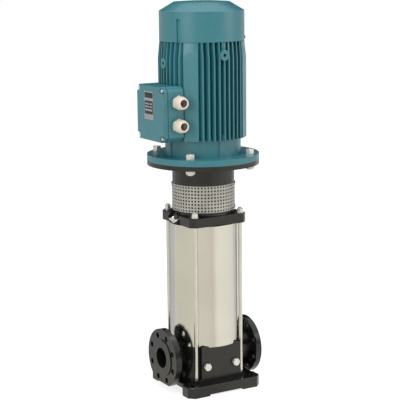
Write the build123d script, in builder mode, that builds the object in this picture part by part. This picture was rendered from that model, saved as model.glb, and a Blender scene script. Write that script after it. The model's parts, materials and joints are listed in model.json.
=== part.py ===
from build123d import *
from math import atan2, cos, degrees, radians, sin
import os

# Vertical multistage pump, millimetres.  Z is the shaft axis, the floor is Z = 0,
# the suction port faces -X, the discharge port faces +X and the drain plugs face -Y.

# Clearances
thread_gap = 0.05        # radial, between a screw and its hole
slide_gap = 0.05         # radial, running fits on the shaft
wear_gap = 0.10          # radial, impeller neck in its wear ring
swirl_gap = 2.0          # axial, impeller to diffuser
spigot_gap = 0.10        # radial, one casting located in another

# Base plate
plate_x = 262
plate_y = 268
plate_corner = 18
plate_height = 34
foot_x = 71              # foot pad, measured from the end of the plate
foot_y = 52
foot_lift = 5            # relief between the feet
side_lift = 20           # relief under the ports
side_inset = 6
hollow_depth = 20
core_r = 60              # cored pocket under the suction chamber
core_height = 54
anchor_x = 220           # anchor hole spacing
anchor_y = 220
anchor_r = 7
anchor_spot_r = 14

# Pump casing and ports
casing_top = 150
casing_r = 109.5
chamber_r = 88            # outside of the ring that collects the discharge
front_width = 140
front_depth = 100        # axis to the front face
skirt_height = 14
skirt_reach = 12
port_z = 105
port_reach = 160
port_bore_r = 32.5
port_throat = 60         # straight length inside each flange
port_passage_r = 35
port_tube_r = 41         # outside of the suction passage where it crosses the ring
port_neck_start = 96.5
port_neck_r = 44
port_neck_flare_r = 50
flange_r = 92.5
flange_thickness = 20
raised_face_r = 59
raised_face_height = 3
port_circle_r = 72.5
port_holes = 8
port_hole_r = 9
port_spot_r = 21
port_spot_depth = 3
flange_foot_drop = 82.5  # port axis to the flat under a flange
flange_foot_side = 60
eye_r = 44               # suction chamber
eye_wall = 12
chamber_floor = 66
drain_x = 52
drain_z = 85
drain_thread_r = 10
drain_thread_length = 16
drain_hole_depth = 34
drain_hex = 22
drain_head = 10
drain_spot_r = 15
drain_spot_depth = 1.5
plug_seal = 2            # thickness of the washer under a plug
plug_seal_r = 13.5

# Outer sleeve and tie rods
sleeve_r = 109.5
sleeve_wall = 2.5
seat_drop = 4            # the sleeve stands in a step of the casing
sleeve_bottom = casing_top - seat_drop
head_bottom = 532
ring_r = 2.5             # section of the sleeve O-rings
ring_squeeze = 0.3
ring_edge = 1.2
spigot_depth_in = 3      # back of the ring groove to the inside of the spigot
spigot_height = 14
rod_x = 81.5
rod_y = 86.2
rod_r = 6
rod_boss_r = 12
rod_boss_top = 43
rod_engagement = 28
nut_hex = 18
nut_height = 10.8
nut_washer_r = 12
nut_washer = 2.5
stud_proud = 4

# Pump head
head_x = 202
head_y = 202
head_corner = 15
head_thickness = 30
head_boss_r = 97
head_boss_height = 9
head_cavity_r = 84
head_cavity_depth = 14
seal_bore_r = 33
fill_rise = 18           # head underside to the fill boss centre
fill_boss_r = 20
fill_boss_length = -3
fill_thread_r = 10
fill_thread_length = 10
fill_passage_r = 4
fill_hex = 30
fill_head = 16
fill_collar_r = 19.5
fill_collar = 3

# Hydraulics
stages = 5
stage_pitch = 66
stage_r = 82
stage_wall = 3
inlet_height = 22
guide_vanes = 7
impeller_r = 68
impeller_vanes = 6
impeller_width = 12
shroud = 2.5
neck_r = 36
hub_r = 18
shaft_r = 11
bush_wall = 5
outlet_height = 20

# Shaft seal
seal_cover_r = 50
seal_cover_height = 14
seal_screw_circle_r = 42
seal_screw_r = 3
seal_seat_r = 21
seal_seat_height = 8
seal_ring_r = 19
seal_ring_height = 10
seal_spring_height = 18

# Lantern, coupling and guard
lantern_ring_height = 16
lantern_ring_r = 97.2
lantern_bore_r = 72
window_top = 642
neck_outer_r = 97.2
neck_wall = 14
lantern_flange_bottom = 715
lantern_flange_top = 729
column_angle = 42        # width of each of the two columns, degrees
lantern_screw_r = 5
lantern_screw_head_r = 8
lantern_screw_head = 10
guard_r = 98.7
guard_sheet = 1.5
guard_split = 1          # gap between the halves
guard_turn = -30         # turns the gaps away from the ports
guard_top = 656
guard_clear = 2          # head to guard
guard_hole_r = 3
guard_rows = 8
guard_pitch_angle = 6    # between columns of holes
guard_columns = 26       # holes in a row of one guard half
guard_screw_r = 2.5
coupling_r = 40
coupling_bottom = 598
coupling_top = 706
coupling_slot = 3
coupling_screw_r = 4
coupling_screw_head_r = 6.5
coupling_screw_head = 8
pin_r = 4

# Motor
motor_flange_r = 175
motor_flange_top = 748
motor_circle_r = 150
motor_hole_r = 9
motor_bolt_r = 8
motor_bolt_hex = 24
motor_bolt_head = 16
motor_nut = 13
spigot_r = 85            # centring spigot under the motor flange
spigot_depth = 4
drum_r = 118
drum_lug_width = 24
drum_lug_proud = 4
frame_bottom = 800
frame_top = 1096
frame_bore_r = 100
frame_wall_r = 112
fin_tip_r = 136
fin_pitch = 16.5
fins_each_way = 4        # on each side of the middle fin
fin_thickness = 4.5
pad_width = 46
pad_reach = 134          # axis to the face of a corner pad
lift_boss_r = 16
lift_boss_z = 1058
side_boss_drop = 26
lift_thread_r = 5
stator_bottom = 850
stator_height = 170
stator_bore_r = 64
stator_slots = 24
winding_height = 32
air_gap = 1.0
motor_shaft_r = 21
motor_shaft_bottom = 622
bearing_bore_r = 22.5
bearing_outer_r = 42.5
bearing_ring = 5.5       # thickness of a bearing ring
bearing_width = 19
bearing_balls = 9
rotor_shoulder_r = 26
fan_shaft_r = 19
lower_bearing_z = 768
upper_bearing_z = 1086
fan_hub_r = 26
fan_r = 112
fan_z = 1122
fan_height = 40
fan_blades = 8
fan_sheet = 3

# Fan cowl
cowl_r = 131.3
cowl_bottom = 1097
cowl_shoulder = 1188
cowl_top = 1215
cowl_crown = 3
cowl_top_r = 86
cowl_sheet = 2.5
groove_width = 14
groove_depth = 5
groove_top = 1167
groove_angle = -152
vent_rings = 6
vent_pitch = 13
vent_r = 3.6
cowl_screw_r = 2.5

# Terminal box
box_x = 185              # axis to the cover face
box_width = 168
box_bottom = 800
box_height = 168
box_corner = 14
box_depth = 52
box_wall = 5
cover_thickness = 16
gasket = 2
cover_screw_r = 3
cover_screw_inset = 12
notch_r = 8
notch_floor = 10         # cover back to the floor of a corner notch
gland_x = 134
gland_upper_z = 920
gland_pitch = 69.5
gland_thread_r = 16
gland_thread = 12
gland_hex = 38
gland_flange = 9
gland_nut_r = 20
gland_nut_length = 27
gland_hole_r = 12
gland_boss_r = 25
gland_boss_height = 3
plate_y_mid = 6
plate_z_mid = 907
plate_size_y = 57
plate_size_z = 86
plate_sheet = 1

# Worked out from the driving dimensions
head_top = head_bottom + head_thickness
lantern_bottom = head_top + head_boss_height
stack_bottom = casing_top + inlet_height
stack_top = stack_bottom + stages * stage_pitch
flange_rear = port_reach - raised_face_height - flange_thickness
box_back = box_x - cover_thickness - gasket - box_depth
rod_spots = [(x, y) for x in (-rod_x, rod_x) for y in (-rod_y, rod_y)]
motor_spots = [(motor_circle_r * cos(radians(a)), motor_circle_r * sin(radians(a)))
               for a in (45, 135, 225, 315)]

os.makedirs("parts", exist_ok=True)
written = []


def keep(name, label):
    """Name a finished sub-part and write it."""
    name.part.label = label
    export_step(name.part, f"parts/{label}.step")
    written.append(label)


def disc(radius, bottom, top, inner=0, mode=Mode.ADD, at=((0, 0),)):
    """An upright cylinder or ring, at one or more places."""
    with BuildSketch(Plane.XY.offset(bottom)) as outline:
        with Locations(*at):
            Circle(radius)
            if inner:
                Circle(inner, mode=Mode.SUBTRACT)
    extrude(outline.sketch, amount=top - bottom, mode=mode)


def slab(length_x, length_y, bottom, top, corner=0, mode=Mode.ADD, at=((0, 0),)):
    """An upright block with chamfered corners."""
    with BuildSketch(Plane.XY.offset(bottom)) as outline:
        with Locations(*at):
            Rectangle(length_x, length_y)
        if corner:
            chamfer(outline.vertices(), corner)
    extrude(outline.sketch, amount=top - bottom, mode=mode)


def hexagon(across, bottom, top, mode=Mode.ADD, at=((0, 0),)):
    """An upright hexagonal prism, flats facing Y."""
    with BuildSketch(Plane.XY.offset(bottom)) as outline:
        with Locations(*at):
            RegularPolygon(across / 2, 6, major_radius=False)
    extrude(outline.sketch, amount=top - bottom, mode=mode)


def turned(points, mode=Mode.ADD):
    """A body of revolution about the shaft from (radius, height) points."""
    with BuildSketch(Plane.XZ) as profile:
        with BuildLine():
            Polyline(*points, close=True)
        make_face()
    revolve(profile.sketch, axis=Axis.Z, mode=mode)


def along(plane, radius, start, end, inner=0, mode=Mode.ADD, at=((0, 0),)):
    """A cylinder or ring along a plane's normal."""
    with BuildSketch(plane.offset(start)) as outline:
        with Locations(*at):
            Circle(radius)
            if inner:
                Circle(inner, mode=Mode.SUBTRACT)
    extrude(outline.sketch, amount=end - start, mode=mode)


def hex_along(plane, across, start, end, at=((0, 0),)):
    """A hexagonal prism along a plane's normal."""
    with BuildSketch(plane.offset(start)) as outline:
        with Locations(*at):
            RegularPolygon(across / 2, 6, major_radius=False)
    extrude(outline.sketch, amount=end - start)


# Planes of the ports: local X is +Y or -Y of the pump, local Y is +Z
suction_face = Plane(origin=(0, 0, port_z), x_dir=(0, -1, 0), z_dir=(-1, 0, 0))
discharge_face = Plane(origin=(0, 0, port_z), x_dir=(0, 1, 0), z_dir=(1, 0, 0))
front_face = Plane(origin=(0, 0, 0), x_dir=(1, 0, 0), z_dir=(0, -1, 0))
box_face = Plane(origin=(0, 0, 0), x_dir=(0, -1, 0), z_dir=(-1, 0, 0))
half_pitch = 360 / port_holes / 2


# ---------------------------------------------------------------- pump base
with BuildPart() as pump_base:
    slab(plate_x, plate_y, 0, plate_height, plate_corner)
    chamfer(pump_base.faces().sort_by(Axis.Z)[-1].edges(), 2)
    slab(front_width, 2 * front_depth, 0, casing_top)
    with BuildSketch(Plane.XY.offset(plate_height)) as skirt:
        Rectangle(front_width + 2 * skirt_reach, 2 * (front_depth + skirt_reach))
    extrude(skirt.sketch, amount=skirt_height, taper=degrees(atan2(skirt_reach, skirt_height)))
    disc(casing_r, 0, casing_top)
    slab(3 * casing_r, casing_r, plate_height, casing_top, mode=Mode.SUBTRACT,
         at=[(0, side * (front_depth + casing_r / 2)) for side in (-1, 1)])
    for face in (suction_face, discharge_face):
        side = -1 if face is suction_face else 1
        with BuildSketch(Plane.XZ) as neck:
            with BuildLine():
                Polyline((0, port_z), (0, port_z + port_neck_r),
                         (side * port_neck_start, port_z + port_neck_r),
                         (side * (flange_rear + 1), port_z + port_neck_flare_r),
                         (side * (flange_rear + 1), port_z), close=True)
            make_face()
        revolve(neck.sketch, axis=Axis((0, 0, port_z), (1, 0, 0)))
        with BuildSketch(face.offset(flange_rear)) as rim:
            Circle(flange_r)
            with Locations((side * flange_foot_side / 2, -flange_foot_drop / 2)):
                Rectangle(flange_foot_side, flange_foot_drop)
            with Locations((0, -flange_foot_drop)):
                Rectangle(3 * flange_r, flange_r, align=(Align.CENTER, Align.MAX), mode=Mode.SUBTRACT)
        extrude(rim.sketch, amount=flange_thickness)
        along(face, raised_face_r, flange_rear, port_reach)
        with BuildSketch(face.offset(flange_rear)) as spots:
            with PolarLocations(port_circle_r, port_holes, half_pitch):
                Circle(port_spot_r)
            Circle(port_neck_flare_r, mode=Mode.SUBTRACT)
        extrude(spots.sketch, amount=port_spot_depth, mode=Mode.SUBTRACT)
        with BuildSketch(face.offset(flange_rear)) as holes:
            with PolarLocations(port_circle_r, port_holes, half_pitch):
                Circle(port_hole_r)
        extrude(holes.sketch, amount=flange_thickness, mode=Mode.SUBTRACT)
    disc(rod_boss_r, plate_height, rod_boss_top, at=rod_spots)
    # Relief under the plate, between the feet
    slab(plate_x - 2 * foot_x, plate_y + 2, 0, foot_lift, mode=Mode.SUBTRACT)
    slab(plate_x + 2, plate_y - 2 * foot_y, 0, foot_lift, mode=Mode.SUBTRACT)
    hollow_x = plate_x - 2 * foot_x - 2 * side_inset
    hollow_y = plate_y - 2 * foot_y - 2 * side_inset
    slab(hollow_x, plate_y - 2 * foot_lift - 2 * side_inset, 0, hollow_depth, mode=Mode.SUBTRACT)
    slab(plate_x - 2 * side_lift, hollow_y, 0, hollow_depth, mode=Mode.SUBTRACT)
    disc(core_r, 0, core_height, mode=Mode.SUBTRACT)
    side_x = (plate_x - side_inset) / 2
    for x in (-side_x, side_x):
        slab(side_inset, plate_y - 2 * foot_y, 0, plate_height, mode=Mode.SUBTRACT, at=[(x, 0)])
        slab(2 * side_lift, plate_y - 2 * foot_y, 0, side_lift, mode=Mode.SUBTRACT, at=[(x, 0)])
    # Water ways: a central suction chamber inside a ring that collects the discharge
    ring_inner = eye_r + eye_wall
    disc(eye_r, chamber_floor, casing_top, mode=Mode.SUBTRACT)
    with BuildPart(mode=Mode.PRIVATE) as annulus:
        disc(chamber_r, chamber_floor, casing_top, inner=ring_inner)
        along(suction_face, port_tube_r, 0, casing_r, mode=Mode.SUBTRACT)
    add(annulus.part, mode=Mode.SUBTRACT)
    throat_start = port_reach - port_throat
    along(suction_face, port_passage_r, 0, throat_start, mode=Mode.SUBTRACT)
    along(discharge_face, port_passage_r, (ring_inner + chamber_r) / 2, throat_start, mode=Mode.SUBTRACT)
    for face in (suction_face, discharge_face):
        along(face, port_bore_r, throat_start, port_reach, mode=Mode.SUBTRACT)
    # Spigot and O-ring groove that carry the sleeve
    sleeve_inner = sleeve_r - sleeve_wall
    spigot_out = sleeve_inner - spigot_gap
    ring_floor = sleeve_inner - 2 * ring_r + ring_squeeze
    ring_z = casing_top + spigot_height / 2
    spigot_in = ring_floor - spigot_depth_in
    disc(sleeve_r + spigot_gap, sleeve_bottom, casing_top + seat_drop, inner=spigot_out,
         mode=Mode.SUBTRACT)
    turned([
        (spigot_in, sleeve_bottom - 1), (spigot_out, sleeve_bottom - 1),
        (spigot_out, ring_z - ring_r), (ring_floor, ring_z - ring_r),
        (ring_floor, ring_z + ring_r), (spigot_out, ring_z + ring_r),
        (spigot_out, casing_top + spigot_height), (spigot_in, casing_top + spigot_height),
    ])
    # Drilled and tapped holes
    disc(rod_r + thread_gap, rod_boss_top - rod_engagement, rod_boss_top, mode=Mode.SUBTRACT, at=rod_spots)
    anchors = [(x, y) for x in (-anchor_x / 2, anchor_x / 2) for y in (-anchor_y / 2, anchor_y / 2)]
    disc(anchor_r, 0, plate_height, mode=Mode.SUBTRACT, at=anchors)
    disc(anchor_spot_r, plate_height - 2, plate_height, mode=Mode.SUBTRACT, at=anchors)
    drains = [(-drain_x, drain_z), (drain_x, drain_z)]
    along(front_face, drain_thread_r + thread_gap, front_depth - drain_hole_depth, front_depth,
          mode=Mode.SUBTRACT, at=drains)
    along(front_face, drain_spot_r, front_depth - drain_spot_depth, front_depth,
          mode=Mode.SUBTRACT, at=drains)
keep(pump_base, "pump_base")

drain_seat = front_depth - drain_spot_depth
with BuildPart() as drain_plugs:
    top = drain_seat + plug_seal
    along(front_face, drain_thread_r, drain_seat - drain_thread_length, top, at=drains)
    hex_along(front_face, drain_hex, top, top + drain_head, at=drains)
    chamfer(drain_plugs.faces().sort_by(Axis.Y)[:2].edges(), 1)
keep(drain_plugs, "drain_plugs")

# The fill plug stands on a slanted boss on the suction side of the head
fill_plane = Plane(
    origin=(-head_x / 2, 0, head_bottom + fill_rise),
    x_dir=(0, -1, 0), z_dir=(-1, 0, 1),
)
fill_seat = fill_boss_length
with BuildPart() as plug_seals:
    along(front_face, plug_seal_r, drain_seat, drain_seat + plug_seal,
          inner=drain_thread_r + thread_gap, at=drains)
    along(fill_plane, fill_collar_r - 3, fill_seat, fill_seat + plug_seal, inner=fill_thread_r + thread_gap)
keep(plug_seals, "plug_seals")

with BuildPart() as fill_plug:
    top = fill_seat + plug_seal
    along(fill_plane, fill_thread_r, fill_seat - fill_thread_length, top)
    along(fill_plane, fill_collar_r, top, top + fill_collar)
    hex_along(fill_plane, fill_hex, top + fill_collar, top + fill_collar + fill_head)
keep(fill_plug, "fill_plug")

# ---------------------------------------------------------------- sleeve and tie rods
sleeve_top = head_bottom
with BuildPart() as outer_sleeve:
    disc(sleeve_r, sleeve_bottom, sleeve_top, inner=sleeve_inner)
keep(outer_sleeve, "outer_sleeve")

with BuildPart() as sleeve_rings:
    for z in (ring_z, sleeve_top - spigot_height / 2 - 2):
        with BuildSketch(Plane.XZ) as section:
            with Locations(((ring_floor + sleeve_inner) / 2, z)):
                Rectangle(sleeve_inner - ring_floor, 2 * ring_r - 2 * ring_squeeze)
            chamfer(section.vertices(), ring_edge)
        revolve(section.sketch, axis=Axis.Z)
keep(sleeve_rings, "sleeve_o_rings")

rod_top = head_top + nut_washer + nut_height + stud_proud
with BuildPart() as tie_rods:
    disc(rod_r, rod_boss_top - rod_engagement, rod_top, at=rod_spots)
keep(tie_rods, "tie_rods")

nut_top = head_top + nut_washer + nut_height
with BuildPart() as tie_rod_nuts:
    disc(nut_washer_r, head_top, head_top + nut_washer, at=rod_spots)
    hexagon(nut_hex, head_top + nut_washer, nut_top, at=rod_spots)
    disc(rod_r + thread_gap, head_top, rod_top, mode=Mode.SUBTRACT, at=rod_spots)
keep(tie_rod_nuts, "tie_rod_nuts")

# ---------------------------------------------------------------- pump head
seal_screws = [(seal_screw_circle_r * cos(radians(a)), seal_screw_circle_r * sin(radians(a)))
               for a in (0, 90, 180, 270)]
lantern_screw_spots = [((lantern_ring_r + lantern_bore_r) / 2 * cos(radians(a)),
                        (lantern_ring_r + lantern_bore_r) / 2 * sin(radians(a)))
                       for a in (45, 135, 225, 315)]
head_ring_z = sleeve_top - spigot_height / 2 - 2
with BuildPart() as pump_head:
    slab(head_x, head_y, head_bottom, head_top, head_corner)
    chamfer(pump_head.faces().sort_by(Axis.Z)[-1].edges(), 1.5)
    disc(head_boss_r, head_top, lantern_bottom)
    # Slanted boss for the fill plug
    along(fill_plane, fill_boss_r, -fill_boss_r, fill_boss_length)
    slab(3 * head_x, head_y, head_bottom - 3 * fill_boss_r, head_bottom, mode=Mode.SUBTRACT)
    # Spigot inside the sleeve
    spigot_low = head_ring_z - ring_r - 3
    turned([
        (spigot_in, sleeve_top), (spigot_in, spigot_low), (spigot_out, spigot_low),
        (spigot_out, head_ring_z - ring_r), (ring_floor, head_ring_z - ring_r),
        (ring_floor, head_ring_z + ring_r), (spigot_out, head_ring_z + ring_r), (spigot_out, sleeve_top),
    ])
    # Return channel over the stack
    disc(head_cavity_r, spigot_low, head_bottom + head_cavity_depth, inner=eye_r + 14, mode=Mode.SUBTRACT)
    turned([
        (ring_floor, head_ring_z - ring_r), (spigot_out + 0.3, head_ring_z - ring_r),
        (spigot_out + 0.3, head_ring_z + ring_r), (ring_floor, head_ring_z + ring_r),
    ], mode=Mode.SUBTRACT)
    disc(seal_bore_r, head_bottom, lantern_bottom, mode=Mode.SUBTRACT)
    disc(seal_screw_r + thread_gap, lantern_bottom - 16, lantern_bottom, mode=Mode.SUBTRACT, at=seal_screws)
    disc(lantern_screw_r + thread_gap, lantern_bottom - 18, lantern_bottom, mode=Mode.SUBTRACT,
         at=lantern_screw_spots)
    disc(rod_r + 0.5, head_bottom, head_top, mode=Mode.SUBTRACT, at=rod_spots)
    along(fill_plane, fill_boss_r, fill_seat, fill_seat + 2 * fill_boss_r, mode=Mode.SUBTRACT)
    along(fill_plane, fill_thread_r + thread_gap, fill_seat - fill_thread_length - 2, fill_seat,
          mode=Mode.SUBTRACT)
    along(fill_plane, fill_passage_r, -fill_boss_r - 8, fill_seat, mode=Mode.SUBTRACT)
keep(pump_head, "pump_head")

# ---------------------------------------------------------------- hydraulics
casing_inner = stage_r - stage_wall
with BuildPart() as inlet_chamber:
    disc(stage_r, casing_top, stack_bottom, inner=casing_inner)
    disc(stage_r, casing_top, casing_top + stage_wall, inner=eye_r)
    disc(stage_r, stack_bottom - stage_wall, stack_bottom, inner=neck_r + wear_gap + 2)
    disc(shaft_r + slide_gap + 2 * bush_wall, casing_top, casing_top + 14,
         inner=shaft_r + bush_wall + slide_gap)
    slab(2 * eye_r + 4, 8, casing_top, casing_top + 10)
    slab(8, 2 * eye_r + 4, casing_top, casing_top + 10)
    disc(shaft_r + slide_gap + bush_wall, casing_top, casing_top + 14, mode=Mode.SUBTRACT)
keep(inlet_chamber, "inlet_chamber")

with BuildPart() as lower_bush:
    disc(shaft_r + slide_gap + bush_wall, casing_top, casing_top + 14, inner=shaft_r + slide_gap)
keep(lower_bush, "lower_bearing_bush")

# In each stage, from below: impeller, then the guide vanes that lead to the next one
impeller_low = stage_wall + swirl_gap
guide_floor = impeller_low + impeller_width + neck_r / 3
for stage in range(stages):
    z = stack_bottom + stage * stage_pitch
    with BuildPart() as casing:
        disc(stage_r, z, z + stage_pitch, inner=casing_inner)
        disc(casing_inner + 1, z + guide_floor, z + guide_floor + stage_wall, inner=hub_r + 3)
        disc(casing_inner + 1, z + stage_pitch - stage_wall, z + stage_pitch,
             inner=neck_r + wear_gap + 2)
        with BuildSketch(Plane.XY.offset(z + guide_floor + 1)) as vanes:
            with PolarLocations((neck_r + casing_inner) / 2 + 4, guide_vanes, rotate=True):
                Rectangle(casing_inner - neck_r - 4, 3, rotation=35)
        extrude(vanes.sketch, amount=stage_pitch - guide_floor - 2)
        with BuildSketch(Plane.XY.offset(z + guide_floor)) as passage:
            with PolarLocations(casing_inner - 6, guide_vanes, 180 / guide_vanes):
                Circle(5)
        extrude(passage.sketch, amount=stage_wall, mode=Mode.SUBTRACT)
    keep(casing, f"stage_casing_{stage + 1}")

with BuildPart() as wear_rings:
    for stage in range(stages):
        z = stack_bottom + stage * stage_pitch
        disc(neck_r + wear_gap + 2, z - stage_wall, z, inner=neck_r + wear_gap)
keep(wear_rings, "wear_rings")

for stage in range(stages):
    z = stack_bottom + stage * stage_pitch + impeller_low
    with BuildPart() as impeller:
        disc(impeller_r, z, z + shroud, inner=neck_r - 3)
        disc(neck_r, z - impeller_low - stage_wall + 0.5, z + shroud, inner=neck_r - 3)
        disc(impeller_r, z + impeller_width - shroud, z + impeller_width, inner=shaft_r)
        disc(hub_r, z - 4, z + impeller_width + 4, inner=shaft_r)
        with BuildSketch(Plane.XY.offset(z + shroud / 2)) as vanes:
            with PolarLocations((neck_r + impeller_r) / 2, impeller_vanes, rotate=True):
                Rectangle(impeller_r - neck_r - 1, shroud, rotation=-50)
        extrude(vanes.sketch, amount=impeller_width - shroud)
    keep(impeller, f"impeller_{stage + 1}")

with BuildPart() as spacers:
    low = casing_top + 18
    for stage in range(stages + 1):
        z = stack_bottom + stage * stage_pitch + impeller_low - 4
        high = z if stage < stages else stack_top + 6
        disc(shaft_r + 3, low, high, inner=shaft_r)
        low = z + impeller_width + 8
keep(spacers, "spacer_sleeves")

outlet_top = stack_top + outlet_height
with BuildPart() as discharge_chamber:
    disc(stage_r, stack_top, outlet_top, inner=casing_inner)
    disc(stage_r, outlet_top - stage_wall, outlet_top, inner=hub_r + 6)
    with BuildSketch(Plane.XY.offset(outlet_top - stage_wall)) as passage:
        with PolarLocations(casing_inner - 14, 8):
            Circle(9)
    extrude(passage.sketch, amount=stage_wall, mode=Mode.SUBTRACT)
keep(discharge_chamber, "discharge_chamber")

with BuildPart() as clamp_spring:
    disc(eye_r + 12, outlet_top, head_bottom, inner=eye_r - 4)
keep(clamp_spring, "clamp_spring")

# ---------------------------------------------------------------- rotating line
with BuildPart() as pump_shaft:
    disc(shaft_r, casing_top - 12, (coupling_bottom + motor_shaft_bottom) / 2 + 6)
    disc(shaft_r + 4, casing_top - 12, casing_top - 2)
    chamfer(pump_shaft.faces().sort_by(Axis.Z)[-1].edges(), 1.5)
keep(pump_shaft, "pump_shaft")

seal_top = lantern_bottom + seal_cover_height
seat_low = seal_top - seal_cover_height - 2
with BuildPart() as seal_cover:
    disc(seal_cover_r, lantern_bottom, seal_top, inner=shaft_r + 1)
    disc(seal_bore_r - spigot_gap, seat_low, lantern_bottom, inner=seal_seat_r)
    disc(seal_seat_r, lantern_bottom - 2, lantern_bottom + seal_seat_height - 2, mode=Mode.SUBTRACT)
    disc(seal_screw_r + 0.4, lantern_bottom, seal_top, mode=Mode.SUBTRACT, at=seal_screws)
    chamfer(seal_cover.faces().sort_by(Axis.Z)[-1].edges().sort_by(SortBy.LENGTH)[-1], 2)
keep(seal_cover, "seal_cover")

seat_bottom = lantern_bottom - 2
with BuildPart() as seal_seat:
    disc(seal_seat_r, seat_bottom, lantern_bottom + seal_seat_height - 2, inner=shaft_r + 1)
keep(seal_seat, "seal_seat")

with BuildPart() as seal_ring:
    disc(seal_ring_r, seat_bottom - seal_ring_height, seat_bottom, inner=shaft_r)
keep(seal_ring, "seal_rotating_ring")

with BuildPart() as seal_spring:
    low = seat_bottom - seal_ring_height - seal_spring_height
    disc(seal_ring_r - 1, low, low + 3, inner=shaft_r)
    for turn in range(4):
        disc(seal_ring_r - 2, low + 2.5 + 4 * turn, low + 5.5 + 4 * turn, inner=seal_ring_r - 4.5)
    with BuildSketch(Plane.XY.offset(low + 1)) as links:
        with PolarLocations(seal_ring_r - 3.25, 3):
            Circle(1.2)
    extrude(links.sketch, amount=seal_spring_height - 1)
keep(seal_spring, "seal_spring")

screw_rows = [coupling_bottom + 8, coupling_bottom + 38, coupling_bottom + 68, coupling_top - 12]
screw_x = (coupling_r + motor_shaft_r) / 2 + 1
screw_spots = [(x, z) for x in (-screw_x, screw_x) for z in screw_rows]
coupling_step = motor_shaft_bottom - 2
with BuildPart() as coupling:
    disc(coupling_r, coupling_bottom, coupling_top)
    chamfer(coupling.edges().filter_by(GeomType.CIRCLE), 2)
    slab(2 * coupling_r, coupling_slot, coupling_bottom, coupling_top, mode=Mode.SUBTRACT)
    disc(motor_shaft_r, coupling_step, coupling_top, mode=Mode.SUBTRACT)
    disc(shaft_r, coupling_bottom, coupling_step, mode=Mode.SUBTRACT)
    along(front_face, coupling_screw_r + thread_gap, -coupling_r, coupling_r, mode=Mode.SUBTRACT,
          at=screw_spots)
    for side in (-1, 1):
        low, high = sorted((side * 14, side * coupling_r))
        along(front_face, coupling_screw_head_r + 0.6, low, high, mode=Mode.SUBTRACT, at=screw_spots)
    pin_z = coupling_bottom + 16
    along(front_face, pin_r, -24, 24, mode=Mode.SUBTRACT, at=[(0, pin_z)])
keep(coupling, "coupling_halves")

with BuildPart() as coupling_screws:
    along(front_face, coupling_screw_r, -14, 14, at=screw_spots)
    along(front_face, coupling_screw_head_r, 14, 14 + coupling_screw_head, at=screw_spots)
    hex_along(front_face, 2 * coupling_screw_head_r - 1, -14 - coupling_screw_head, -14, at=screw_spots)
keep(coupling_screws, "coupling_screws")

# ---------------------------------------------------------------- lantern and guard
guard_bottom = lantern_bottom + guard_clear
guard_row_pitch = (guard_top - guard_bottom) / guard_rows
screw_angle = (guard_columns + 1.6) / 2 * guard_pitch_angle
guard_screw_planes = [
    Plane(origin=(0, 0, z), x_dir=(-sin(radians(a)), cos(radians(a)), 0),
          z_dir=(cos(radians(a)), sin(radians(a)), 0))
    for a in (guard_turn + side + way * screw_angle for side in (-90, 90) for way in (-1, 1))
    for z in (guard_bottom + 5, guard_top - 5)
]
with BuildPart() as lantern:
    disc(lantern_ring_r, lantern_bottom, lantern_bottom + lantern_ring_height, inner=lantern_bore_r)
    disc(neck_outer_r, window_top, lantern_flange_top, inner=neck_outer_r - neck_wall)
    disc(lantern_ring_r, lantern_bottom, window_top + 2, inner=lantern_bore_r)
    with BuildSketch(Plane.XY.offset(lantern_bottom + lantern_ring_height)) as windows:
        Rectangle(3 * lantern_ring_r, 2 * lantern_ring_r * sin(radians(90 - column_angle / 2)) - 30)
        Circle(lantern_bore_r - 1, mode=Mode.SUBTRACT)
    extrude(windows.sketch, amount=window_top - lantern_bottom - lantern_ring_height, mode=Mode.SUBTRACT)
    disc(motor_flange_r, lantern_flange_bottom, lantern_flange_top, inner=neck_outer_r - neck_wall)
    disc(spigot_r + spigot_gap, lantern_flange_top - spigot_depth - 0.5, lantern_flange_top,
         mode=Mode.SUBTRACT)
    disc(motor_hole_r, lantern_flange_bottom, lantern_flange_top, mode=Mode.SUBTRACT, at=motor_spots)
    disc(lantern_screw_r + 0.4, lantern_bottom, lantern_bottom + lantern_ring_height, mode=Mode.SUBTRACT,
         at=lantern_screw_spots)
    for plane in guard_screw_planes:
        along(plane, guard_screw_r + thread_gap, neck_outer_r - 9, neck_outer_r, mode=Mode.SUBTRACT)
keep(lantern, "lantern")

with BuildPart() as head_screws:
    disc(seal_screw_r, lantern_bottom - 14, seal_top, at=seal_screws)
    disc(seal_screw_r + 2.5, seal_top, seal_top + 5, at=seal_screws)
    ring_top = lantern_bottom + lantern_ring_height
    disc(lantern_screw_r, lantern_bottom - 16, ring_top, at=lantern_screw_spots)
    disc(lantern_screw_head_r, ring_top, ring_top + lantern_screw_head, at=lantern_screw_spots)
    hexagon(8, ring_top + 4, ring_top + lantern_screw_head, mode=Mode.SUBTRACT, at=lantern_screw_spots)
keep(head_screws, "head_screws")

guard_holes = []
for row in range(guard_rows):
    for column in range(guard_columns):
        angle = radians((column - (guard_columns - 1) / 2) * guard_pitch_angle)
        guard_holes.append(Plane(
            origin=(0, 0, guard_bottom + (row + 0.5) * guard_row_pitch),
            x_dir=(-cos(angle), -sin(angle), 0), z_dir=(sin(angle), -cos(angle), 0),
        ))
with BuildPart() as guard_half:
    disc(guard_r, guard_bottom, guard_top, inner=guard_r - guard_sheet)
    slab(3 * guard_r, 2 * guard_r, guard_bottom, guard_top, mode=Mode.SUBTRACT,
         at=[(0, guard_r - guard_split / 2)])
    with Locations(*[plane.offset(guard_r).location for plane in guard_holes]):
        Cylinder(guard_hole_r, 6 * guard_sheet, mode=Mode.SUBTRACT)
with BuildPart() as guard:
    for turn in (guard_turn, guard_turn + 180):
        add(guard_half.part.rotate(Axis.Z, turn))
    with Locations(*[plane.offset(guard_r).location for plane in guard_screw_planes]):
        Cylinder(guard_screw_r + 0.3, 6 * guard_sheet, mode=Mode.SUBTRACT)
keep(guard, "coupling_guards")

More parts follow.
